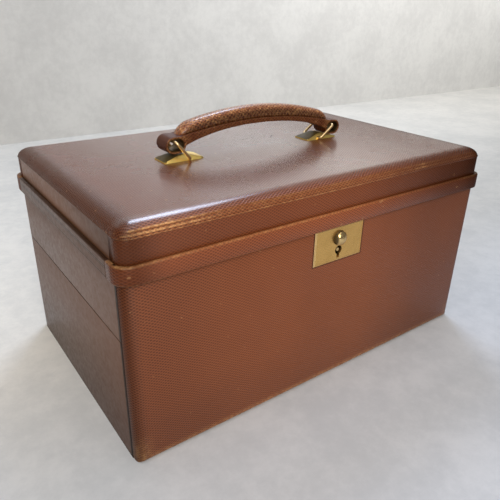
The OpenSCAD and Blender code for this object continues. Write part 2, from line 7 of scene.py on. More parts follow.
import bmesh
import bpy
from mathutils import Matrix, Vector


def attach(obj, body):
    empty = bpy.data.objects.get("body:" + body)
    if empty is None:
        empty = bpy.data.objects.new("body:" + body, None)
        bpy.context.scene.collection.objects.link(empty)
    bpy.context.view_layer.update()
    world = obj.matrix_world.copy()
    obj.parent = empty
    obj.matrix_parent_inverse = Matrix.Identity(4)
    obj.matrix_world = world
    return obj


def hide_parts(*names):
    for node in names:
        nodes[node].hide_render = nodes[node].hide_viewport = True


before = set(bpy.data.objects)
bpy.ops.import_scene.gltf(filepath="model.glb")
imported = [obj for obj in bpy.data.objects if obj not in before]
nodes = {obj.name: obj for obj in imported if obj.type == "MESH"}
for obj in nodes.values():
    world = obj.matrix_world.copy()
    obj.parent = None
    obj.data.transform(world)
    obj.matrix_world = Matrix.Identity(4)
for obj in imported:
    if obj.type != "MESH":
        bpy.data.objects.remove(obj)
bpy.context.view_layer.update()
random.seed(7)

MM = 0.001

# Sizes of the case that part.scad sets, in mm
HALF_L, HALF_W = 160.0, 100.0          # outer faces of the ends and of the front and back
CORNER = 8.0                           # radius of the upright corners
LID_TOP, WALL_TOP = 162.6, 155.0       # top of the padded lid and of its walls
SEAM_Z = 89.0                          # joint between the lower section and the tray
BAND_LOW, BAND_HIGH = 129.7, 140.8     # worn edges of the band round the lid
STRIP_TOP = 140.5                      # ledge on top of the ends' strips

# Sizes of the looks, in mm
LIP_Z = 155.6                          # lip where the lid's top leather ends
RIDGE_HIGH, RIDGE_LOW, GROOVE = 159.4, 157.3, 158.3      # worn double ridge along the lid's front
WALL_Y = 800.0                         # backdrop behind the case
STAGE_HALF, STAGE_HIGH = 4000.0, 3000.0


# ---------------------------------------------------------------- camera and lamps

CAMERA_TURN = (36.293, 25.203, 1.243)  # to the right of straight ahead, down, and roll, in degrees
CAMERA_PLACE = (-0.2472, -0.3319, 0.2654)
CAMERA_LENS = 37.53


def set_camera():
    azimuth, elevation, roll = (math.radians(a) for a in CAMERA_TURN)
    ahead = Vector((math.sin(azimuth) * math.cos(elevation), math.cos(azimuth) * math.cos(elevation),
                    -math.sin(elevation)))
    right = ahead.cross(Vector((0, 0, 1))).normalized()
    up = right.cross(ahead)
    c, s = math.cos(roll), math.sin(roll)
    right, up = c * right + s * up, c * up - s * right
    data = bpy.data.cameras.new("camera")
    data.lens, data.sensor_width = CAMERA_LENS, 36.0
    data.clip_start, data.clip_end = 0.01, 50
    cam = bpy.data.objects.new("camera", data)
    matrix = Matrix((right, up, -ahead)).transposed().to_4x4()
    matrix.translation = Vector(CAMERA_PLACE)
    cam.matrix_world = matrix
    bpy.context.scene.collection.objects.link(cam)
    bpy.context.scene.camera = cam


def area_light(name, place, aim, size, power, colour):
    data = bpy.data.lights.new(name, "AREA")
    data.shape, data.size, data.size_y = "RECTANGLE", size[0], size[1]
    data.energy, data.color = power, colour
    lamp = bpy.data.objects.new(name, data)
    lamp.location = place
    lamp.rotation_mode = "QUATERNION"
    lamp.rotation_quaternion = (Vector(aim) - Vector(place)).to_track_quat("-Z", "Y")
    bpy.context.scene.collection.objects.link(lamp)


# ---------------------------------------------------------------- node helpers

class Net:
    """Short ways to wire a material's nodes. Arguments may be numbers, colours or sockets."""

    def __init__(self, name):
        self.mat = bpy.data.materials.new(name)
        self.mat.use_nodes = True
        self.tree = self.mat.node_tree
        self.tree.nodes.clear()

    def node(self, kind, **props):
        n = self.tree.nodes.new(kind)
        for k, v in props.items():
            setattr(n, k, v)
        return n

    def put(self, socket, value):
        if isinstance(value, bpy.types.NodeSocket):
            self.tree.links.new(value, socket)
        elif value is not None:
            socket.default_value = value

    def math(self, op, a, b=None, c=None):
        n = self.node("ShaderNodeMath", operation=op)
        for i, v in enumerate((a, b, c)):
            self.put(n.inputs[i], v)
        return n.outputs[0]

    def add(self, a, b): return self.math("ADD", a, b)
    def sub(self, a, b): return self.math("SUBTRACT", a, b)
    def mul(self, a, b): return self.math("MULTIPLY", a, b)
    def high(self, a, b): return self.math("MAXIMUM", a, b)
    def low(self, a, b): return self.math("MINIMUM", a, b)
    def size(self, a): return self.math("ABSOLUTE", a)

    def step(self, value, start, end, low=0.0, high=1.0):
        """Smooth step of value from start to end, given as low to high."""
        n = self.node("ShaderNodeMapRange", interpolation_type="SMOOTHSTEP")
        for i, v in enumerate((value, start, end, low, high)):
            self.put(n.inputs[i], v)
        return n.outputs[0]

    def near(self, value, centre, reach):
        """1 where value is centre, falling smoothly to 0 at reach from it."""
        return self.step(self.size(self.sub(value, centre)), 0.0, reach, 1.0, 0.0)

    def mix(self, share, a, b, blend="MIX"):
        """From colour a to colour b; a colour mix has its colours on inputs 6 and 7 and output 2."""
        n = self.node("ShaderNodeMix", data_type="RGBA", blend_type=blend)
        self.put(n.inputs[0], share)
        self.put(n.inputs[6], a)
        self.put(n.inputs[7], b)
        return n.outputs[2]

    def dim(self, colour, share):
        """Colour made darker or lighter by a share of itself."""
        return self.mix(1.0, colour, self.join(share, share, share), "MULTIPLY")

    def place(self, stretch=(1, 1, 1)):
        """Place on the object in metres, which is the case's own frame for every piece."""
        out = self.node("ShaderNodeTexCoord").outputs["Object"]
        if tuple(stretch) == (1, 1, 1):
            return out
        n = self.node("ShaderNodeMapping")
        self.put(n.inputs["Vector"], out)
        n.inputs["Scale"].default_value = stretch
        return n.outputs[0]

    def noise(self, vector, scale, detail, rough=0.55, distort=0.0):
        n = self.node("ShaderNodeTexNoise")
        self.put(n.inputs["Vector"], vector)
        n.inputs["Scale"].default_value = scale
        n.inputs["Detail"].default_value = detail
        n.inputs["Roughness"].default_value = rough
        n.inputs["Distortion"].default_value = distort
        return n.outputs["Fac"]

    def cells(self, vector, scale):
        n = self.node("ShaderNodeTexVoronoi", feature="F1")
        self.put(n.inputs["Vector"], vector)
        n.inputs["Scale"].default_value = scale
        return n.outputs["Distance"]

    def split(self, vector):
        n = self.node("ShaderNodeSeparateXYZ")
        self.put(n.inputs[0], vector)
        return n.outputs[0], n.outputs[1], n.outputs[2]

    def here(self):
        """The three coordinates of place()."""
        return self.split(self.place())

    def join(self, x, y, z=0.0):
        n = self.node("ShaderNodeCombineXYZ")
        for i, v in enumerate((x, y, z)):
            self.put(n.inputs[i], v)
        return n.outputs[0]

    def bump(self, height, strength, distance, normal=None):
        n = self.node("ShaderNodeBump")
        self.put(n.inputs["Height"], height)
        n.inputs["Strength"].default_value = strength
        n.inputs["Distance"].default_value = distance
        if normal is not None:
            self.put(n.inputs["Normal"], normal)
        return n.outputs[0]

    def shade(self, normal, **sockets):
        """Principled surface; names use _ for spaces."""
        n = self.node("ShaderNodeBsdfPrincipled")
        for k, v in sockets.items():
            self.put(n.inputs[k.replace("_", " ")], v)
        self.put(n.inputs["Normal"], normal)
        out = self.node("ShaderNodeOutputMaterial")
        self.tree.links.new(n.outputs[0], out.inputs[0])
        return self.mat


def unrolled(n):
    """Distance along the leather round an upright corner, and height: for pieces that wrap the corners.

    Edges that are turned over go on inwards as height, so that the emboss doesn't smear there."""
    x, y, z = n.here()
    flat_x, flat_y, r = (HALF_L - CORNER) * MM, (HALF_W - CORNER) * MM, CORNER * MM
    ax, ay = n.size(x), n.size(y)
    turn = n.math("ARCTAN2", n.high(n.sub(ax, flat_x), 0.0), n.high(n.sub(ay, flat_y), 1e-6))
    far = n.add(n.add(n.low(ax, flat_x), n.mul(turn, r)), n.high(n.sub(flat_y, ay), 0.0))
    turned = n.mul(n.high(n.sub(HALF_W * MM, ay), 0.0), n.step(ax, flat_x + 0.4 * MM, flat_x))
    return n.mul(n.math("SIGN", x), far), n.add(z, turned)


def uv_of(n):
    """Place on the flat leather, for the pieces that make_mesh gave one."""
    u, v, _ = n.split(n.node("ShaderNodeUVMap", uv_map="flat").outputs[0])
    return u, v


def lattice(n, u, v, width, height):
    """Raised net of slightly uneven diamonds: 1 on its lines, 0 inside the cells."""
    where = n.join(u, v)
    warp = n.mul(n.sub(n.noise(where, 55.0, 2.0), 0.5), 1.1)
    a = n.add(n.add(n.mul(u, 1 / width), n.mul(v, 1 / height)), warp)
    b = n.add(n.sub(n.mul(u, 1 / width), n.mul(v, 1 / height)), warp)
    edges = [n.sub(0.5, n.size(n.sub(n.math("FRACT", q), 0.5))) for q in (a, b)]
    return n.step(n.math("SMOOTH_MIN", edges[0], edges[1], 0.08), 0.02, 0.24, 1.0, 0.0)


RUBBED = (0.62, 0.33, 0.13, 1)         # leather whose finish is rubbed off
SPECK = (0.50, 0.27, 0.12, 1)
EVEN = 0.40                            # height of the emboss that a calm surface shows everywhere


def embossed(name, uv, wear, contrast, depth, tone, gloss=0.34, coat=0.1, cell=(3.1, 1.95), shine=0.32,
             painted_shading=None, polish=None, calm=None):
    """Leather with a fine diamond emboss, its cells given in mm.

    uv is unrolled, uv_of or across. wear, painted_shading, polish and calm are functions of (n, u, v): a 0 to 1 mask
    of rubbed leather, the share of the colour kept as painted light and shade, the share of the coat kept, and the
    share of the emboss kept."""
    n = Net(name)
    u, v = uv(n)
    where = n.place()
    net = lattice(n, u, v, cell[0] * MM, cell[1] * MM)
    patches = n.noise(where, 14.0, 4.0, 0.6)
    fine = n.noise(where, 900.0, 3.0, 0.6)

    def toned(c):
        return tuple(a * b for a, b in zip(c, tone)) + (1,)

    dark = n.mix(patches, toned((0.060, 0.014, 0.004)), toned((0.095, 0.024, 0.008)))
    light = n.mix(patches, toned((0.270, 0.078, 0.024)), toned((0.380, 0.120, 0.040)))
    raised = n.add(n.mul(net, 0.75), n.mul(fine, 0.25))
    if calm is not None:
        raised = n.add(n.mul(n.sub(raised, EVEN), calm(n, u, v)), EVEN)
    colour = n.mix(n.mul(raised, contrast), dark, light)
    rough = n.step(patches, 0.3, 0.7, gloss - 0.04, gloss + 0.08)
    if wear is not None:
        mask = wear(n, u, v)
        spots = n.step(n.noise(where, 330.0, 4.0, 0.7), 0.42, 0.62)
        rubbed = n.mul(mask, n.add(0.25, n.mul(spots, n.add(0.45, n.mul(net, 0.3)))))
        colour = n.mix(rubbed, colour, RUBBED)
    # painted light and shade: the colour made darker or lighter where light falls less or more
    if painted_shading is not None:
        kept = painted_shading(n, u, v)
        colour = n.dim(colour, kept)
        shine = n.mul(n.step(kept, 0.25, 0.9, 0.06, 1.0), shine)
    if polish is not None:
        coat = n.mul(polish(n, u, v), coat)
    specks = n.mul(n.step(n.noise(where, 210.0, 2.0, 0.6), 0.70, 0.74), 0.35)
    colour = n.mix(specks, colour, SPECK)
    grain = n.bump(fine, 0.25, 0.00012)
    normal = n.bump(net, 0.55 * depth, 0.00022, grain)
    return n.shade(normal, Base_Color=colour, Roughness=rough, Coat_Weight=coat, Coat_Roughness=0.2,
                   Specular_IOR_Level=shine)


def smooth_leather(name, base, light, gloss=0.4, lines=None, worn=None):
    """Fine-pored leather, with painted shade darker towards the foot and painted light lighter towards the back of
    the lid's ends.

    lines and worn are functions of n: 0 to 1 masks of dark tooled lines or painted shade in gaps, and of rubbed
    edges."""
    n = Net(name)
    where = n.place()
    patches = n.noise(where, 9.0, 5.0, 0.62)
    scuffs = n.step(n.noise(n.place((1.0, 0.35, 6.0)), 60.0, 5.0, 0.7), 0.60, 0.74)
    pore = n.cells(where, 1300.0)
    crease = n.noise(where, 260.0, 4.0, 0.65, 0.6)
    colour = n.mix(patches, base + (1,), light + (1,))
    _, along, height = n.split(where)
    # painted light and shade: darker towards the foot, and on the lid's ends lighter towards the back
    painted_light_on_lid = n.step(along, -0.095, 0.04, 0.66, 1.7)
    shade = n.mul(n.step(height, 0.0, 0.085, 0.58, 1.0), n.step(height, STRIP_TOP * MM, 0.1425, 1.0, painted_light_on_lid))
    colour = n.dim(colour, shade)
    colour = n.mix(n.mul(scuffs, 0.05), colour, tuple(min(1, c * 2.0) for c in light) + (1,))
    colour = n.mix(n.step(pore, 0.0, 0.35, 0.35, 0.0), colour, tuple(c * 0.5 for c in base) + (1,))
    normal = n.bump(crease, 0.08, 0.00025, n.bump(pore, 0.12, 0.0001))
    if worn is not None:
        colour = n.mix(worn(n), colour, (0.48, 0.27, 0.13, 1))
    metallic = 0.0
    if lines is not None:
        # painted shade in gaps: the leather made black and metallic there, so that it gives back no light
        cut = lines(n)
        metallic = n.mul(cut, 0.9)     # black metal gives back no light, as a gap doesn't
        colour = n.mix(n.mul(cut, 0.85), colour, (0.012, 0.006, 0.004, 1))
        normal = n.bump(n.sub(1.0, cut), 0.5, 0.0003, normal)
    rough = n.step(crease, 0.3, 0.75, gloss - 0.05, gloss + 0.1)
    return n.shade(normal, Base_Color=colour, Roughness=rough, Coat_Weight=0.05, Coat_Roughness=0.3,
                   Specular_IOR_Level=0.27, Metallic=metallic)


def suede(name, base, light):
    n = Net(name)
    where = n.place()
    nap = n.noise(where, 700.0, 4.0, 0.7)
    brushed = n.noise(n.place((1, 1.6, 0.8)), 22.0, 4.0, 0.6, 0.8)
    colour = n.mix(brushed, base + (1,), light + (1,))
    colour = n.mix(n.mul(nap, 0.35), colour, tuple(c * 0.55 for c in base) + (1,))
    return n.shade(n.bump(nap, 0.4, 0.00025), Base_Color=colour, Roughness=0.95, Sheen_Weight=0.45,
                   Sheen_Roughness=0.45)


def wood(name, stretch):
    n = Net(name)
    grain = n.noise(n.place(stretch), 60.0, 6.0, 0.65, 0.5)
    fibre = n.noise(n.place(stretch), 420.0, 3.0, 0.6)
    colour = n.mix(n.step(grain, 0.35, 0.65), (0.20, 0.105, 0.048, 1), (0.30, 0.17, 0.08, 1))
    colour = n.mix(n.mul(fibre, 0.3), colour, (0.12, 0.06, 0.028, 1))
    return n.shade(n.bump(fibre, 0.2, 0.0002), Base_Color=colour, Roughness=0.6)


def metal(name, base, tarnish, gloss, brushed=(1, 1, 1), spots=0.35, shade_of=None):
    """Brass or steel. shade_of(n) is a 0 to 1 mask of painted shade, where the metal is made black as if in shadow or
    in a recess.
    """
    n = Net(name)
    where = n.place()
    lines = n.noise(n.place(brushed), 500.0, 3.0, 0.6)
    patches = n.noise(where, 90.0, 4.0, 0.6)
    pits = n.step(n.noise(where, 420.0, 3.0, 0.7), 0.64, 0.74)
    colour = n.mix(n.step(patches, 0.35, 0.75), base + (1,), tarnish + (1,))
    colour = n.mix(n.mul(pits, spots), colour, tuple(c * 0.3 for c in tarnish) + (1,))
    bare = 1.0
    if shade_of is not None:
        black = shade_of(n)
        bare = n.sub(1.0, black)
        colour = n.mix(black, colour, tuple(c * 0.07 for c in tarnish) + (1,))
    rough = n.add(n.step(lines, 0.3, 0.7, gloss - 0.06, gloss + 0.09), n.mul(pits, 0.2))
    return n.shade(n.bump(lines, 0.06, 0.0001), Base_Color=colour, Roughness=rough, Metallic=bare,
                   Specular_IOR_Level=0.12)


# ---------------------------------------------------------------- where the looks change
# Places in these masks are in metres. u runs along the leather and v across it.

def lid_wear(n, u, v):
    """The double ridge at the front, most of all its left end, and a little of the lip and the rounding."""
    x, y, z = n.here()
    front = n.step(y, -0.097, -0.0985)
    left = n.high(n.step(x, -0.118, -0.095, 1.0, 0.22), n.mul(n.near(x, 0.083, 0.016), 0.8))
    ridge = n.high(n.near(z, RIDGE_HIGH * MM, 0.0012), n.near(z, RIDGE_LOW * MM, 0.0009))
    lip = n.mul(n.near(z, LIP_Z * MM, 0.0008), 0.5)
    rounding = n.mul(n.step(z, 0.1568, 0.1600), n.step(z, 0.1615, 0.1600))
    lip = n.mul(lip, n.add(0.25, n.mul(front, 0.75)))
    fading = n.step(x, -0.02, 0.11, 1.0, 0.15)
    soft = n.mul(n.high(lip, n.mul(n.mul(rounding, 0.30), front)), fading)
    return n.high(n.mul(n.mul(ridge, front), left), soft)


def scratches(n):
    """A few fine curved lines in the middle of the lid's top."""
    x, y, _ = n.here()
    curve = n.near(n.noise(n.place((1.0, 1.6, 1.0)), 24.0, 1.0, 0.4), 0.5, 0.007)
    some = n.step(n.noise(n.place(), 60.0, 1.0, 0.5), 0.55, 0.58)
    middle = n.mul(n.step(n.size(x), 0.060, 0.050), n.step(n.size(n.sub(y, 0.045)), 0.040, 0.030))
    return n.mul(n.mul(curve, some), middle)


def lid_painted_shading_and_scratches(n, u, v):
    """Painted shade darker towards both ends, the right and the front right, and painted light lighter on the
    rounding; darker along the scratches.
    """
    x, y, z = n.here()
    side = n.step(n.size(x), 0.140, 0.158, 1.0, 0.42)
    right = n.step(x, 0.02, 0.15, 1.0, 0.72)
    front = n.step(y, -0.096, -0.090, n.step(x, 0.02, 0.11, 1.0, 0.62), 1.0)
    rounding = n.mul(n.step(z, 0.1600, 0.1624, 1.25, 1.0), front)
    return n.mul(n.mul(n.mul(side, right), rounding), n.sub(1.0, n.mul(scratches(n), 0.9)))


def lid_polish(n, u, v):
    """Coat left on the flat top, less towards its ends and front, and in a gleam over the front left rounding."""
    x, y, z = n.here()
    flat = n.step(z, 0.1595, 0.1626, 0.24, 1.0)
    sides = n.mul(n.step(x, -0.07, -0.16, 1.0, 0.44), n.step(x, 0.00, 0.13, 1.0, 0.12))
    away = n.high(n.step(x, -0.115, -0.055, 1.0, 0.0), n.step(y, -0.098, -0.086, 0.08, 1.0))
    gleam = n.mul(n.mul(n.step(x, -0.090, -0.125), n.step(y, -0.081, -0.089)), n.step(z, 0.1596, 0.1608))
    return n.mul(n.high(n.mul(n.mul(flat, sides), away), gleam), n.sub(1.0, scratches(n)))


def painted_shading_right(n, u, v):
    """Painted light and shade: darker round the corners and towards the right, a little lighter in the middle."""
    corner = n.step(n.size(u), 0.130, 0.156, 1.0, 0.52)
    middle = n.step(u, -0.13, -0.03, 0.98, 1.16)
    return n.mul(n.mul(corner, middle), n.step(u, 0.0, 0.14, 1.0, 0.32))


def front_painted_shading(n, u, v):
    """Painted light and shade: lighter in the middle, darker round the corners, to both sides, at the foot, on the
    edges turned in, and in the shadow close round the lock.
    """
    corner = n.step(n.size(u), 0.150, 0.160, 1.0, 0.50)
    along = n.mul(n.step(u, -0.15, -0.04, 0.99, 1.40), n.step(u, 0.03, 0.12, 1.0, 0.67))
    turned_in = n.step(n.size(u), 0.1635, 0.1650, 1.0, 0.2)
    by_lock = n.mul(n.step(n.size(u), 0.0246, 0.0234), n.step(v, 0.1010, 0.1022))
    edges = n.mul(n.mul(corner, turned_in), n.sub(1.0, n.mul(by_lock, 0.65)))
    return n.mul(n.mul(along, edges), n.step(v, 0.0, 0.05, 0.88, 1.0))


def front_calm(n, u, v):
    """The emboss shows less towards the right."""
    return n.step(u, -0.14, 0.02, 1.0, 0.42)


def corner_calm(n, u, v):
    """The emboss shows less towards the corners."""
    return n.step(n.size(u), 0.110, 0.150, 0.85, 0.50)


def gap_shade_and_joint(n):
    """Painted shade in the gap behind the drop front's turned-in edge, and the tray's dark joint."""
    _, y, z = n.here()
    gap = n.mul(n.step(y, -0.0888, -0.0894), n.step(z, 0.1275, 0.1265))
    return n.high(gap, n.mul(n.near(z, SEAM_Z * MM, 0.0008), 0.8))


def strip_lines(n):
    """Tooled lines on the ends' strips, and painted shade along the ledge on top of them."""
    _, _, z = n.here()
    fine = n.high(n.near(z, 0.1375, 0.0005), n.near(z, 0.1364, 0.0004))
    # painted shade in the gap above the ledge
    ledge = n.mul(n.step(z, 0.1402, 0.1408), 0.6)
    return n.high(n.high(fine, ledge), n.mul(n.near(z, 0.1312, 0.0005), 0.7))


def strip_worn(n):
    """The strips' front tips, and a little of their ledge."""
    _, y, z = n.here()
    grain = n.step(n.noise(n.place(), 260.0, 4.0, 0.7), 0.40, 0.62)
    tip = n.mul(n.step(y, -0.086, -0.0905), n.step(z, 0.1300, 0.1335))
    ledge = n.mul(n.step(z, STRIP_TOP * MM, 0.1409), 0.06)
    return n.mul(grain, n.high(ledge, n.mul(tip, 0.6)))


def band_wear(n, u, v):
    """The band's two edges, most of all round the corners."""
    edge = n.high(n.near(v, BAND_HIGH * MM, 0.0012), n.mul(n.near(v, BAND_LOW * MM, 0.0010), 0.40))
    corner = n.near(n.size(u), 0.160, 0.040)
    return n.mul(edge, n.add(n.step(u, -0.06, 0.04, 0.42, 0.20), n.mul(corner, 0.5)))


def flap_wear(n, u, v):
    """The drop front's foot, most of all at its corners."""
    foot = n.near(v, 0.002, 0.006)
    corner = n.mul(n.near(n.size(u), 0.158, 0.012), n.near(v, 0.004, 0.022))
    return n.high(n.mul(foot, 0.55), n.mul(corner, 0.6))


def grip_wear(n, u, v):
    """Rubbed all over, but not in the bottom of the grain."""
    grain = n.step(n.noise(n.place(), 620.0, 4.0, 0.7), 0.45, 0.62)
    return n.mul(grain, 0.75)


def grip_painted_shading(n, u, v):
    """Painted highlight lighter along the roll's crest, and painted shade darker down its sides."""
    return n.step(n.size(n.add(v, 0.0015)), 0.0030, 0.0070, 1.65, 0.55)


def across(n):
    """Stands in for uv_of on the strap: its length, and its width and thickness together."""
    x, y, z = n.here()
    return x, n.add(y, z)


def strap_wear(n, u, v):
    """The strap's long cut edges, and the rims of its two loops."""
    x, y, _ = n.here()
    ax, ay = n.size(x), n.size(y)
    grain = n.step(n.noise(n.place(), 1500.0, 3.0, 0.6), 0.42, 0.60)
    side = n.mul(n.near(ay, 0.0088, 0.0010), n.step(ax, 0.066, 0.058, 0.0, 0.28))
    mouth = n.mul(n.near(ay, 0.0079, 0.0006), n.step(ax, 0.060, 0.066, 0.0, 0.7))
    return n.mul(n.high(side, mouth), grain)


def hip_slope_shade(n):
    """Painted shade: the base plates' ridges and their slopes to the left and back, above their rims, made black."""
    coords = n.node("ShaderNodeTexCoord")
    x, y, _ = n.split(coords.outputs["Normal"])
    _, _, height = n.split(coords.outputs["Object"])
    away = n.mul(n.step(x, 0.06, 0.0), n.step(y, -0.5, -0.3))
    return n.mul(n.mul(away, n.step(height, 0.1633, 0.1638)), 0.97)


def button_side_shade(n):
    """Painted shade: all that doesn't face the front, such as the button's sides, and its edge to the left, made
    black.
    """
    x, y, _ = n.split(n.node("ShaderNodeTexCoord").outputs["Normal"])
    return n.mul(n.high(n.step(y, -0.30, -0.10), n.step(x, -0.45, -0.68)), 0.95)


def plate_edge_light(n):
    """Painted light on the lock's plate: its middle made a little darker, so that its edges read lighter, as if lit.
    """
    x, _, z = n.here()
    edge = n.high(n.step(n.size(x), 0.0216, 0.0222), n.step(z, 0.1036, 0.1031))
    return n.mul(n.sub(1.0, edge), 0.08)


# ---------------------------------------------------------------- mesh helpers

def make_mesh(name, points, faces, uvs=None, smooth=True):
    """A piece from points in mm; uvs holds one flat-leather point in mm for each vertex."""
    mesh = bpy.data.meshes.new(name)
    mesh.from_pydata([tuple(c * MM for c in p) for p in points], [], faces)
    if uvs is not None:
        layer = mesh.uv_layers.new(name="flat")
        for loop in mesh.loops:
            a = uvs[loop.vertex_index]
            layer.data[loop.index].uv = (a[0] * MM, a[1] * MM)
    mesh.validate()
    for p in mesh.polygons:
        p.use_smooth = smooth
    obj = bpy.data.objects.new(name, mesh)
    bpy.context.scene.collection.objects.link(obj)
    return obj


def paint(obj, material):
    obj.data.materials.clear()
    obj.data.materials.append(material)
    return obj


def weld(obj, distance):
    """Joins vertices closer than distance in mm, for good."""
    bm = bmesh.new()
    bm.from_mesh(obj.data)
    bmesh.ops.remove_doubles(bm, verts=bm.verts, dist=distance * MM)
    bmesh.ops.recalc_face_normals(bm, faces=bm.faces)
    bm.to_mesh(obj.data)
    bm.free()


def soften(obj, width):
    """Rounds a piece's edges by width in mm in the render, with its own mesh left as it is."""
    merge = obj.modifiers.new("weld", "WELD")
    merge.merge_threshold = 1e-6
    bevel = obj.modifiers.new("bevel", "BEVEL")
    bevel.width, bevel.segments = width * MM, 2
    bevel.limit_method, bevel.angle_limit = "ANGLE", math.radians(28)
    bevel.harden_normals = True
    bevel.use_clamp_overlap = True
    for p in obj.data.polygons:
        p.use_smooth = True


def apply_modifiers(obj):
    graph = bpy.context.evaluated_depsgraph_get()
    mesh = bpy.data.meshes.new_from_object(obj.evaluated_get(graph))
    obj.modifiers.clear()
    obj.data = mesh


def ring_walls(rings, sides):
    """Faces between closed rings of vertices that follow each other."""
    faces = []
    for start in range(0, (rings - 1) * sides, sides):
        for k in range(sides):
            a, b = start + k, start + (k + 1) % sides
            faces.append((a, b, b + sides, a + sides))
    return faces


def rod_faces(rings, sides):
    """Walls and the two flat ends of a rod."""
    last = (rings - 1) * sides
    return ring_walls(rings, sides) + [tuple(range(sides - 1, -1, -1)), tuple(range(last, last + sides))]


def tube(name, path, radius, sides):
    """Round rod along a list of points in mm, with flat ends."""
    pts = [Vector(p) for p in path]
    points = []
    side = None
    for i, p in enumerate(pts):
        ahead = (pts[min(i + 1, len(pts) - 1)] - pts[max(i - 1, 0)]).normalized()
        if side is None:
            side = ahead.orthogonal().normalized()
        side = (side - ahead * side.dot(ahead)).normalized()
        other = ahead.cross(side)
        for k in range(sides):
            t = 2 * math.pi * k / sides
            points.append(p + radius * (math.cos(t) * side + math.sin(t) * other))
    return make_mesh(name, points, rod_faces(len(pts), sides))


def rounded(corners, radius, steps):
    """Path through corners with each inner corner turned into an arc."""
    pts = [Vector(c) for c in corners]
    out = [pts[0]]
    for a, b, c in zip(pts, pts[1:], pts[2:]):
        to_a, to_c = (a - b).normalized(), (c - b).normalized()
        half = to_a.angle(to_c) / 2
        back = radius / math.tan(half)
        centre = b + (to_a + to_c).normalized() * (radius / math.sin(half))
        start, end = b + to_a * back - centre, b + to_c * back - centre
        for i in range(steps + 1):
            out.append(centre + start.normalized().slerp(end.normalized(), i / steps) * radius)
    out.append(pts[-1])
    return out


# ---------------------------------------------------------------- padded lid

EDGE_IN, EDGE_UP = 12.0, 7.5           # how far the lid's rounding reaches in and down
CROWN, CROWN_L, CROWN_W = 0.35, 150, 90        # the padding's rise in the middle, and half the plan it falls over
UPWARDS = 0.35                         # share of a crease's height that goes up, at the rounding's top
SIDES = ("front", "right", "back", "left")     # the corner after each of them has its number, 0 to 3
FRONT_LEFT, FRONT_FROM = 3, 0.35       # corner that the front's creases go on round, and from which share of it


def lid_crown(x, y):
    return CROWN * (1 - abs(x / CROWN_L) ** 3) * (1 - abs(y / CROWN_W) ** 3)


def ripple(value, height, centre, width):
    """Smooth ridge, or with a negative height a groove."""
    return height * math.exp(-((value - centre) / width) ** 2)


def lid_profile():
    """From the wall's top over the rounding: (inset, height, distance along the leather from the flat top)."""
    count = 44
    pts = []
    for i in range(count + 1):
        t = i / count * math.pi / 2
        pts.append((EDGE_IN * (1 - math.cos(t)), LID_TOP - EDGE_UP + EDGE_UP * math.sin(t)))
    far = [0.0]
    for a, b in zip(reversed(pts[1:]), reversed(pts[:-1])):
        far.append(far[-1] + math.dist(a, b))
    far.reverse()
    return [(d, z, s) for (d, z), s in zip(pts, far)]


def lid_crease(x, z, front):
    """How far the leather stands out near its lower edge: a worn double ridge at the front left, a lip elsewhere."""
    lip = ripple(z, 0.35, LIP_Z, 0.55)
    if not front:
        return lip
    full_to = -112                     # the ridge is at its strongest from the left end to here
    strength = 1.0 if x < full_to else 0.30 + ripple(x, 0.70, full_to, 16)
    wave = 0.25 * math.sin(x / 17.0)
    ridges = ripple(z, 0.42, RIDGE_HIGH + wave, 0.45) + ripple(z, 0.36, RIDGE_LOW + wave, 0.5)
    return lip * 0.4 + strength * (ridges + ripple(z, -0.45, GROOVE + wave, 0.38))


def lid_stations(nx, ny, nc):
    """Stations round the plan: (side, share along it) on a straight, (its number, share of the turn) on a corner."""
    stations = []
    for k, (side, n) in enumerate(zip(SIDES, (nx, ny, nx, ny))):
        stations += [(side, i / n) for i in range(n + 1)]
        stations += [(k, (i + 1) / (nc + 1)) for i in range(nc)]
    return stations


def lid_plan(station, inset):
    """A station's point on the lid's outline drawn in by inset, and the way out from there."""
    r = max(CORNER - inset * CORNER / EDGE_IN, 0.0)
    hx, hy = HALF_L - inset - r, HALF_W - inset - r
    where, t = station
    if where == "front":
        return (-hx + 2 * hx * t, -hy - r), (0, -1)
    if where == "right":
        return (hx + r, -hy + 2 * hy * t), (1, 0)
    if where == "back":
        return (hx - 2 * hx * t, hy + r), (0, 1)
    if where == "left":
        return (-hx - r, hy - 2 * hy * t), (-1, 0)
    a = math.radians((-90, 0, 90, 180)[where] + 90 * t)
    sx, sy = ((1, -1), (1, 1), (-1, 1), (-1, -1))[where]
    return (sx * hx + r * math.cos(a), sy * hy + r * math.sin(a)), (math.cos(a), math.sin(a))


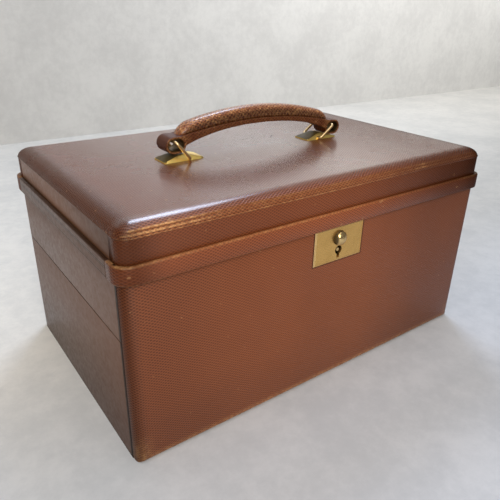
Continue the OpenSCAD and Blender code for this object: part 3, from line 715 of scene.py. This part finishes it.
def make_lid_top():
    nx, ny = 96, 60                    # faces along the length and the depth of the flat top
    stations = lid_stations(nx, ny, 8)
    profile = lid_profile()
    m = len(stations)
    points, uvs = [], []
    for inset, z, far in profile:
        for where, t in stations:
            (x, y), (ax, ay) = lid_plan((where, t), inset)
            (fx, fy), _ = lid_plan((where, t), EDGE_IN)
            out = lid_crease(x, z, where == "front" or (where == FRONT_LEFT and t > FRONT_FROM))
            up = UPWARDS * out * (z - WALL_TOP) / EDGE_UP
            rise = z + lid_crown(fx, fy) * (inset / EDGE_IN) ** 2
            points.append((x + ax * out, y + ay * out, rise + up))
            uvs.append((fx + ax * far, fy + ay * far))
    last = (len(profile) - 1) * m
    faces = ring_walls(len(profile), m)

    # The flat top is a grid that shares the last ring's straights; the stations of a corner are one point there.
    rim = {}
    for i, (where, t) in enumerate(stations):
        if where in SIDES:
            k = round(t * (nx if where in ("front", "back") else ny))
            ij = {"front": (k, 0), "right": (nx, k), "back": (nx - k, ny), "left": (0, ny - k)}[where]
            rim.setdefault(ij, last + i)
    hx, hy = HALF_L - EDGE_IN, HALF_W - EDGE_IN
    grid = {}
    for i in range(nx + 1):
        for j in range(ny + 1):
            if (i, j) in rim:
                grid[i, j] = rim[i, j]
                continue
            x, y = -hx + 2 * hx * i / nx, -hy + 2 * hy * j / ny
            grid[i, j] = len(points)
            points.append((x, y, LID_TOP + lid_crown(x, y)))
            uvs.append((x, y))
    for i in range(nx):
        for j in range(ny):
            faces.append((grid[i, j], grid[i + 1, j], grid[i + 1, j + 1], grid[i, j + 1]))
    faces.append(tuple(range(m - 1, -1, -1)))
    obj = make_mesh("lid_top_leather", points, faces, uvs)
    weld(obj, 0.002)
    return obj


# ---------------------------------------------------------------- handle and lock plate

LEFT_PIVOT, RIGHT_PIVOT, PIVOT_Z = -65.6, 59.8, 164.2
LEAN_LEFT, LEAN_RIGHT = 41.1, 54.5     # of the bails away from upright, in degrees
BAIL_R, BAIL_Y, WIRE_R = 17.3, 11.0, 1.1       # pivot to bar, middle to each leg, and the wire's radius
PLATE_OUT = 3.9                        # how far each base plate's middle is outside its pivot
BAR_SLACK = 2.0                        # how far the handle sits to the right on its two bars


def bail_end(side):
    """Bar of a bail in the X-Z plane, and its pivot."""
    pivot = (LEFT_PIVOT if side < 0 else RIGHT_PIVOT, PIVOT_Z)
    lean = math.radians(LEAN_LEFT if side < 0 else LEAN_RIGHT)
    return (pivot[0] + side * BAIL_R * math.sin(lean), pivot[1] + BAIL_R * math.cos(lean)), pivot


LEFT_BAR, RIGHT_BAR = bail_end(-1)[0], bail_end(1)[0]
MID = ((LEFT_BAR[0] + RIGHT_BAR[0]) / 2 + BAR_SLACK, (LEFT_BAR[1] + RIGHT_BAR[1]) / 2)
BAR_HALF = math.dist(LEFT_BAR, RIGHT_BAR) / 2
TILT = math.atan2(LEFT_BAR[1] - RIGHT_BAR[1], RIGHT_BAR[0] - LEFT_BAR[0])
LOOP_OUT, LOOP_LENGTH = 2.3, 4         # from a bar to its loop's outer centre, and the loop's straight part
STRAP_END = BAR_HALF + LOOP_OUT - LOOP_LENGTH
STRAP_HALF, LOOP_HALF, ROLL_H = 9.0, 8.0, 9.1
STRAP_HIGH, STRAP_DROP = 11.1, 8.2     # the strap's top in the middle, and how far its ends are below that


def on_bars(x, y, z):
    """From the handle's own middle and slope to the case's frame."""
    return (MID[0] + x * math.cos(TILT) + z * math.sin(TILT), y, MID[1] - x * math.sin(TILT) + z * math.cos(TILT))


def strap_top(x):
    return STRAP_HIGH - STRAP_DROP * (x / STRAP_END) ** 2


def strap_half(x):
    """Half the strap's width, which narrows from 26 to 5 mm inside its end."""
    return LOOP_HALF + (STRAP_HALF - LOOP_HALF) * max(0, min(1, (STRAP_END - 5 - abs(x)) / 21))


def make_bail(side, name):
    """Bent wire, with its ends turned in to the bores of its base plate."""
    (bar_x, bar_z), (px, pz) = bail_end(side)
    tip = 5.6                          # how far from the middle the wire's ends are
    corners = [(px, -tip, pz), (px, -BAIL_Y, pz), (bar_x, -BAIL_Y, bar_z), (bar_x, BAIL_Y, bar_z),
               (px, BAIL_Y, pz), (px, tip, pz)]
    return tube(name, rounded(corners, radius=2.8, steps=8), WIRE_R, sides=18)


def make_base_plate(middle, name):
    """Hipped plate with a worn, rounded outline and softened ridges, pressed a little into the lid."""
    length, width, corner = 16.0, 9.2, 2.2     # half its length, half its width, and its corners' radius
    rise, low, pressed = 4.6, 1.0, 0.1         # heights of its ridge and of its ends' edges, and its depth
    ridge, slope, soft = 2.5, 3.7, 0.16        # half the ridge's length, the sides' slopes, and their softness
    nu, nv = 80, 46
    points, faces = [], []

    def height(x, y):
        end = low + (length - abs(x)) * (rise - low) / (length - ridge)
        side = (width - abs(y)) * rise / slope
        total = sum(math.exp(-h / soft) for h in (end, side, rise))
        return max(0.0, -soft * math.log(total) + soft / 2)

    for j in range(nv + 1):
        for i in range(nu + 1):
            u, v = -1 + 2 * i / nu, -1 + 2 * j / nv
            x, y = u * length, v * width
            dx, dy = max(abs(x) - length + corner, 0.0), max(abs(y) - width + corner, 0.0)
            if dx > 0 and dy > 0:
                pull = corner / math.hypot(dx, dy)
                x = math.copysign(length - corner + dx * pull, x)
                y = math.copysign(width - corner + dy * pull, y)
            points.append((middle + x, y, LID_TOP + height(x, y)))
    for j in range(nv):
        for i in range(nu):
            a = j * (nu + 1) + i
            faces.append((a, a + 1, a + nu + 2, a + nu + 1))
    rim = (list(range(nu + 1)) + [j * (nu + 1) + nu for j in range(1, nv + 1)]
           + [nv * (nu + 1) + i for i in range(nu - 1, -1, -1)] + [j * (nu + 1) for j in range(nv - 1, 0, -1)])
    base = len(points)
    points += [(points[k][0], points[k][1], LID_TOP - pressed) for k in rim]
    m = len(rim)
    for i in range(m):
        faces.append((rim[(i + 1) % m], rim[i], base + i, base + (i + 1) % m))
    faces.append(tuple(base + i for i in range(m - 1, -1, -1)))
    return make_mesh(name, points, faces)


def make_strap():
    """The strap with its sewn loops: the solid's outline with every edge worn round."""
    strap = nodes["grip_strap"]
    obj = bpy.data.objects.new("grip_strap_leather", strap.data.copy())
    bpy.context.scene.collection.objects.link(obj)
    obj.data.materials.clear()
    weld(obj, 0.001)
    remesh = obj.modifiers.new("remesh", "REMESH")
    remesh.mode, remesh.voxel_size = "VOXEL", 0.45 * MM
    worn = obj.modifiers.new("worn", "SMOOTH")
    worn.factor, worn.iterations = 0.5, 5
    apply_modifiers(obj)
    for p in obj.data.polygons:
        p.use_smooth = True
    return obj


def make_roll():
    """Padded roll: blunt rounded ends, flat underneath, with a ledge of the strap left clear on each side."""
    end = STRAP_END - 2.2              # clear of the sewing
    nose_length, thinning, ledge = 10, 2.7, 1.5
    n, steps = 32, 120
    points, uvs, faces = [], [], []
    for i in range(steps + 1):
        x = -end + 2 * end * i / steps
        near = abs(x) / end
        t = max(0.0, (abs(x) - (end - nose_length)) / nose_length)
        nose = max(0.0, 1 - t * t) ** 0.62
        thick = 0.1 + (ROLL_H - thinning * near ** 2) * nose
        half = (strap_half(x) - ledge) * (0.55 + 0.45 * max(0.0, 1 - t ** 2.6) ** 0.5)
        for k in range(n + 1):
            a = math.pi * k / n
            c, s = math.cos(a), max(math.sin(a), 0.0)
            y = -half * math.copysign(abs(c) ** 0.72, c) * (1 - 0.06 * s)
            z = strap_top(x) - 0.05 + thick * s ** 0.7
            points.append(on_bars(x, y, z))
            uvs.append((x, (a - math.pi / 2) * (half + thick) / 2.4))
    m = n + 1
    for i in range(steps):
        for k in range(n):
            a = i * m + k
            faces.append((a, a + m, a + m + 1, a + 1))
        a = i * m
        faces.append((a + n, a + m + n, a + m, a))
    faces.append(tuple(range(n + 1)))
    faces.append(tuple(steps * m + k for k in range(n, -1, -1)))
    obj = make_mesh("grip_padding", points, faces, uvs)
    weld(obj, 0.001)
    return obj


def make_plate_edge():
    """Filed border of the lock plate: it slopes from the plate's face down to the leather."""
    inner, outer = (21.8, 103.5, 127.8), (22.9, 102.4, 128.8)      # half length, lowest and highest
    face, foot, behind = -100.52, -100.02, -99.9
    points, faces = [], []
    for (x, low_z, high_z), y in ((inner, face), (outer, foot), (outer, behind), (inner, behind)):
        points += [(-x, y, low_z), (x, y, low_z), (x, y, high_z), (-x, y, high_z)]
    for ring in range(4):
        for k in range(4):
            a, b = ring * 4 + k, ring * 4 + (k + 1) % 4
            faces.append((a, b, (b + 4) % 16, (a + 4) % 16))
    obj = make_mesh("lock_plate_edge", points, faces, smooth=False)
    weld(obj, 0.001)
    return obj


# ---------------------------------------------------------------- ring rolls

ROLL_COUNT, ROLL_R = 5, 6.5


def make_ring_roll(name, y, low, high, radius):
    """One stuffed suede roll along X: round shoulders, shallow pulls along its length, flat where it is glued."""
    steps, sides = 150, 28
    shoulder, slack = 4.0, 0.25        # length of the rounded shoulders, and how much thinner than the solid
    points = []
    phase = random.uniform(0, 6.28)
    for i in range(steps + 1):
        x = low[0] + (high[0] - low[0]) * i / steps
        end = min(x - low[0], high[0] - x)
        cap = 1.0 if end >= shoulder else max(0.05, math.sqrt(max(0.0, 1 - (1 - end / shoulder) ** 2)) * 0.45 + 0.55)
        pull = 0.14 * math.sin(x / 11.0 + phase) + 0.08 * math.sin(x / 4.7 + 2 * phase)
        for k in range(sides):
            a = 2 * math.pi * k / sides
            r = (radius - slack + pull) * cap
            z = low[2] + radius + r * math.sin(a)
            points.append((x, y + r * math.cos(a), max(z, low[2] + 0.05)))
    return make_mesh(name, points, rod_faces(steps + 1, sides))


# ---------------------------------------------------------------- looks of the pieces

def make_looks():
    return {
        "lid": embossed("lid_leather", uv_of, lid_wear, 1.0, 1.2, (0.80, 0.76, 0.76), gloss=0.25, coat=1.0,
                        painted_shading=lid_painted_shading_and_scratches, polish=lid_polish),
        "lid_wall": embossed("lid_wall_leather", unrolled, None, 0.80, 1.0, (0.97, 0.91, 0.87), painted_shading=painted_shading_right,
                             calm=corner_calm),
        "band": embossed("band_leather", unrolled, band_wear, 0.85, 1.0, (1.27, 1.18, 1.14), painted_shading=painted_shading_right,
                         calm=corner_calm),
        "front": embossed("front_leather", unrolled, flap_wear, 0.75, 0.9, (1.03, 1.04, 1.08), gloss=0.36, shine=0.28,
                          painted_shading=front_painted_shading, calm=front_calm),
        "grip": embossed("grip_leather", uv_of, grip_wear, 1.5, 2.0, (0.60, 0.60, 0.58), gloss=0.30, coat=0.5,
                         cell=(3.4, 2.5), shine=0.28, painted_shading=grip_painted_shading),
        "end": smooth_leather("end_leather_smooth", (0.120, 0.049, 0.025), (0.162, 0.075, 0.040),
                              lines=gap_shade_and_joint),
        "strip": smooth_leather("strip_leather_smooth", (0.088, 0.037, 0.019), (0.120, 0.056, 0.030),
                                lines=strip_lines, worn=strip_worn),
        "strap": embossed("strap_leather", across, strap_wear, 0.9, 1.2, (0.50, 0.44, 0.42), gloss=0.38, coat=0.0,
                          cell=(3.2, 2.4), shine=0.24),
        "cloth": smooth_leather("base_leathercloth", (0.045, 0.028, 0.022), (0.075, 0.05, 0.04), 0.6),
        "suede": suede("lining_suede", (0.34, 0.20, 0.115), (0.44, 0.27, 0.16)),
        "wood": wood("board_wood", (1, 8, 8)),
        "brass": metal("aged_brass", (0.72, 0.48, 0.19), (0.60, 0.39, 0.15), 0.34, (1, 30, 30), 0.2),
        "plate": metal("lock_brass", (0.79, 0.475, 0.150), (0.71, 0.42, 0.125), 0.30, (1, 1, 40), 0.1, plate_edge_light),
        # Paler brass than the plate: painted highlight on the lock plate's sloping border.
        "rim": metal("rim_brass_highlight", (0.96, 0.70, 0.34), (0.90, 0.62, 0.28), 0.30, (1, 1, 1), 0.1),
        # Tarnished brass, made near black so that the keyhole's slot shows as shade: painted shade.
        "tarnish_and_keyhole_shade": metal("old_brass_keyhole_shade", (0.16, 0.10, 0.04), (0.08, 0.05, 0.02), 0.5),
        "hip": metal("cast_brass", (0.98, 0.72, 0.22), (0.90, 0.62, 0.18), 0.36, (1, 1, 1), 0.1, hip_slope_shade),
        "wire": metal("wire_brass", (0.86, 0.64, 0.34), (0.66, 0.46, 0.22), 0.38, (1, 1, 1), 0.2),
        # Painted shade: dark brass for the loops' linings, for the shade inside the loops.
        "liner": metal("loop_shade_brass", (0.17, 0.11, 0.045), (0.08, 0.05, 0.02), 0.45),
        "bright": metal("bright_brass", (0.80, 0.57, 0.26), (0.58, 0.38, 0.15), 0.20, (1, 1, 1), 0.3,
                        button_side_shade),
        "steel": metal("plain_steel", (0.62, 0.62, 0.60), (0.42, 0.41, 0.40), 0.28),
    }


# The solids that each look is for.
SOLIDS = {
    "cloth": "base_cover",
    "wood": "base_board end_boards back_board flap_board tray_floor tray_frame lid_frame lid_top_board",
    "end": "end_leather back_leather tray_end_leather tray_back_leather lid_end_panels",
    "strip": "band_ends",
    "suede": "well_lining flap_lining tray_front_skin tray_lining tray_long_divider tray_cross_dividers "
             "ring_rolls lid_lining",
    "front": "flap_leather",
    "lid_wall": "lid_front_leather lid_back_leather",
    "band": "band_front band_back",
    "tarnish_and_keyhole_shade": "lock_case",
    "brass": "tray_hinge_lower carcase_screws flap_hinge_rear flap_hinge_front catch_leaf "
             "leaf_rivets lock_cam tray_hinge_upper lid_hinge_lower tray_screws tongue lid_hinge_upper "
             "lid_screws",
    "plate": "lock_plate",
    "bright": "push_button handle_plates left_bail right_bail key_post",
    "liner": "loop_linings",
    "steel": "tray_hinge_pins flap_hinge_pins lid_hinge_pins tongue_screws plate_rivets",
    "strap": "grip_strap grip_roll",
    "lid": "lid_pad",
}

# How far these solids' edges are rounded in the render, in mm. The others' are rounded by LITTLE.
ROUNDED = {"band_front": 1.0, "band_ends": 0.8, "band_back": 0.8, "tray_long_divider": 0.8,
           "tray_cross_dividers": 0.8, "flap_leather": 0.5, "end_leather": 0.5, "tray_end_leather": 0.5,
           "base_cover": 0.5, "back_leather": 0.3, "tray_back_leather": 0.3}
LITTLE = 0.12


def paint_solids():
    for look, names in SOLIDS.items():
        for name in names.split():
            paint(nodes[name], looks[look])
    for name, obj in nodes.items():
        if name not in ("lock_plate", "catch_leaf") and "hinge" not in name:
            soften(obj, ROUNDED.get(name, LITTLE))


# ---------------------------------------------------------------- scene

set_camera()
looks = make_looks()
paint_solids()

lid_top = paint(make_lid_top(), looks["lid"])
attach(lid_top, "lid")
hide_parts("lid_pad")

roll = paint(make_roll(), looks["grip"])
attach(roll, "grip")
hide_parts("grip_roll")

strap = paint(make_strap(), looks["strap"])
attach(strap, "grip")
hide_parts("grip_strap")

# the border's paler brass is a painted highlight
plate_edge = paint(make_plate_edge(), looks["rim"])
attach(plate_edge, "drop_front")

for middle, name in ((LEFT_PIVOT - PLATE_OUT, "base_plate_left"), (RIGHT_PIVOT + PLATE_OUT, "base_plate_right")):
    plate = paint(make_base_plate(middle, name), looks["hip"])
    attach(plate, "lid")
    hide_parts("handle_plates")

for side, name in ((-1, "left_bail"), (1, "right_bail")):
    wire = paint(make_bail(side, name + "_wire"), looks["wire"])
    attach(wire, name)
    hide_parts(name)

solid_points = [v.co / MM for v in nodes["ring_rolls"].data.vertices]
roll_low = [min(p[k] for p in solid_points) for k in range(3)]
roll_high = [max(p[k] for p in solid_points) for k in range(3)]
for i in range(ROLL_COUNT):
    y = roll_low[1] + ROLL_R + (roll_high[1] - roll_low[1] - 2 * ROLL_R) * i / (ROLL_COUNT - 1)
    ring_roll = paint(make_ring_roll("ring_roll_%d" % (i + 1), y, roll_low, roll_high, ROLL_R), looks["suede"])
    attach(ring_roll, "tray")
    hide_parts("ring_rolls")


# ---------------------------------------------------------------- stage

floor = make_mesh("floor", [(-STAGE_HALF, -STAGE_HALF, 0), (STAGE_HALF, -STAGE_HALF, 0),
                            (STAGE_HALF, STAGE_HALF, 0), (-STAGE_HALF, STAGE_HALF, 0)], [(0, 1, 2, 3)])
wall = make_mesh("wall", [(-STAGE_HALF, WALL_Y, 0), (STAGE_HALF, WALL_Y, 0),
                          (STAGE_HALF, WALL_Y, STAGE_HIGH), (-STAGE_HALF, WALL_Y, STAGE_HIGH)], [(0, 1, 2, 3)])
for piece, name, dull, clear in ((floor, "pale_floor", (0.53, 0.54, 0.55, 1), (0.62, 0.625, 0.63, 1)),
                                 (wall, "pale_wall", (0.64, 0.635, 0.62, 1), (0.74, 0.735, 0.715, 1))):
    n = Net(name)
    mottle = n.add(n.mul(n.noise(n.place(), 9.0, 6.0, 0.65), 0.55), n.mul(n.noise(n.place(), 60.0, 6.0, 0.75), 0.45))
    x, y, _ = n.here()
    colour = n.mix(n.step(mottle, 0.38, 0.62), dull, clear)
    # Painted light: the wall lighter towards the right; the floor darker towards the right, lighter far off to the
    # left and behind, cooler in front and warmer behind.
    if piece is wall:
        share = n.step(x, -0.1, 1.3, 0.86, 0.94)
    else:
        far_left_light = n.mul(n.step(x, 0.0, -0.25), n.step(y, -0.12, 0.12, 0.0, 0.30))
        share = n.add(n.step(x, -0.1, 0.5, 1.03, 0.97), far_left_light)
        painted_tint = n.mix(n.step(y, -0.15, 0.1), (0.97, 1.0, 1.06, 1), (1.03, 1.0, 0.94, 1))
        colour = n.mix(1.0, colour, painted_tint, "MULTIPLY")
    paint(piece, n.shade(n.bump(n.noise(n.place(), 160.0, 3.0), 0.1, 0.0004), Roughness=0.75,
                         Base_Color=n.dim(colour, share)))

world = bpy.data.worlds.new("studio")
world.use_nodes = True
background = world.node_tree.nodes["Background"]
background.inputs["Color"].default_value = (0.95, 0.96, 0.98, 1)
background.inputs["Strength"].default_value = 0.20
bpy.context.scene.world = world
bpy.context.scene.view_settings.view_transform = "Standard"

# name, place, aim, size, power, colour
area_light("skylight", (0.45, 0.62, 1.15), (0, 0, 0.15), (0.40, 0.36), 6.9, (0.66, 0.78, 1.0))
area_light("room", (-0.55, -0.95, 0.75), (0, 0, 0.08), (0.8, 0.7), 11.8, (1.0, 0.93, 0.84))
area_light("ceiling", (-0.1, -0.3, 1.7), (0, 0, 0), (1.6, 1.2), 8, (1.0, 0.98, 0.96))
area_light("wall_washer", (1.4, 0.40, 0.70), (1.4, 0.8, 0.50), (2.0, 0.3), 9.0, (1.0, 0.99, 0.97))
